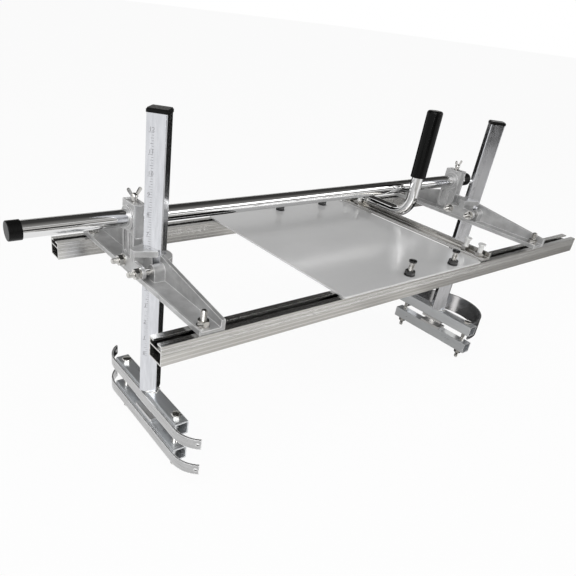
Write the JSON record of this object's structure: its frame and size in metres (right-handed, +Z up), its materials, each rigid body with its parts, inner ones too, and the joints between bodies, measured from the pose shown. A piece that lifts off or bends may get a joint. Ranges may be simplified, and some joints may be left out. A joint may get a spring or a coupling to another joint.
{
  "type": "chainsaw_mill",
  "caption": "Small-log chainsaw mill: slotted rails, cast end brackets, sliding measuring posts with saw-bar clamps, handle tube and thrust handle",
  "frame": {"origin": "Underside of the front rail, at its mid-length and mid-width. The front rail is the one under the thrust handle's front end.", "axes": "+X along the rails towards the nose end, +Y from the front rail to the rear rail, +Z up out of the deck."},
  "size_m": [1.005, 0.3318, 0.5],
  "materials": {
    "rail_aluminium": "satin extruded, fine lines along the length",
    "casting": "sand cast, fine grain",
    "deck_steel": "zinc plated, glossy",
    "post_steel": "bright zinc plated",
    "clamp_steel": "plated, slightly brown",
    "strap_steel": "satin",
    "guard_steel": "dark, polished",
    "chrome": "mirror bright",
    "zinc_fasteners": "zinc plated",
    "pad_aluminium": "ground flat",
    "black_plastic": "moulded, slightly glossy",
    "black_rubber": "smooth grip"
  },
  "bodies": {
    "rail_frame": {"front_rail": "rail_aluminium", "rear_rail": "rail_aluminium", "deck_plate": "deck_steel", "deck_bolts": "zinc_fasteners", "deck_nuts": "zinc_fasteners"},
    "cross_member_body": {"cross_member": "rail_aluminium", "member_foot_plates": "deck_steel", "member_studs": "zinc_fasteners", "member_nuts": "zinc_fasteners", "thrust_handle": "chrome", "thrust_grip": "black_rubber", "thrust_bolt": "zinc_fasteners", "thrust_nut": "zinc_fasteners"},
    "left_bracket_body": {"left_bracket": "casting", "left_post_clamp": "casting", "left_clamp_bolts": "zinc_fasteners", "left_clamp_nuts": "zinc_fasteners", "left_foot_bolts": "zinc_fasteners", "left_foot_nuts": "zinc_fasteners"},
    "left_wing_screw_body": {"left_wing_screw": "zinc_fasteners"},
    "left_post_body": {"left_post": "post_steel", "left_post_cap": "black_plastic", "left_upper_tube": "clamp_steel", "left_upper_pad": "pad_aluminium", "left_bar_bolts": "zinc_fasteners", "left_upper_strap": "strap_steel"},
    "left_jaw_body": {"left_jaw_tube": "clamp_steel", "left_jaw_pad": "pad_aluminium", "left_jaw_nuts": "zinc_fasteners", "left_jaw_strap": "strap_steel"},
    "right_bracket_body": {"right_bracket": "casting", "right_post_clamp": "casting", "right_clamp_bolts": "zinc_fasteners", "right_clamp_nuts": "zinc_fasteners", "right_foot_bolts": "zinc_fasteners", "right_foot_nuts": "zinc_fasteners"},
    "right_wing_screw_body": {"right_wing_screw": "zinc_fasteners"},
    "right_post_body": {"right_post": "post_steel", "right_post_cap": "black_plastic", "right_upper_tube": "clamp_steel", "right_upper_pad": "pad_aluminium", "right_bar_bolts": "zinc_fasteners", "nose_guard": "guard_steel", "nose_guard_bolts": "zinc_fasteners", "nose_guard_nuts": "zinc_fasteners"},
    "right_jaw_body": {"right_jaw_tube": "clamp_steel", "right_jaw_pad": "pad_aluminium", "right_jaw_nuts": "zinc_fasteners"},
    "handle_body": {"handle_tube": "chrome", "handle_caps": "black_plastic"}
  },
  "joints": [
    {"name": "cross_member_slide", "type": "slide", "parent": "rail_frame", "child": "cross_member_body", "axis": [1, 0, 0], "range_m": [0, 0.04]},
    {"name": "left_bracket_slide", "type": "slide", "parent": "rail_frame", "child": "left_bracket_body", "axis": [1, 0, 0], "range_m": [-0.04, 0.15]},
    {"name": "right_bracket_slide", "type": "slide", "parent": "rail_frame", "child": "right_bracket_body", "axis": [1, 0, 0], "range_m": [-0.06, 0.01]},
    {"name": "handle_slide", "type": "slide", "parent": "rail_frame", "child": "handle_body", "axis": [1, 0, 0], "range_m": [-0.005, 0.08]},
    {"name": "left_wing_screw_turn", "type": "hinge", "parent": "left_bracket_body", "child": "left_wing_screw_body", "pos_m": [-0.3845, 0.1997, 0.11], "axis": [0, 0, 1], "continuous": true},
    {"name": "right_wing_screw_turn", "type": "hinge", "parent": "right_bracket_body", "child": "right_wing_screw_body", "pos_m": [0.3255, 0.1997, 0.11], "axis": [0, 0, 1], "continuous": true},
    {"name": "left_post_slide", "type": "slide", "parent": "left_bracket_body", "child": "left_post_body", "axis": [0, 0, 1], "range_m": [-0.15, 0.165]},
    {"name": "right_post_slide", "type": "slide", "parent": "right_bracket_body", "child": "right_post_body", "axis": [0, 0, 1], "range_m": [-0.128, 0.187]},
    {"name": "left_jaw_slide", "type": "slide", "parent": "left_post_body", "child": "left_jaw_body", "axis": [0, 0, 1], "range_m": [-0.012, 0.01]},
    {"name": "right_jaw_slide", "type": "slide", "parent": "right_post_body", "child": "right_jaw_body", "axis": [0, 0, 1], "range_m": [-0.012, 0.006]}
  ]
}
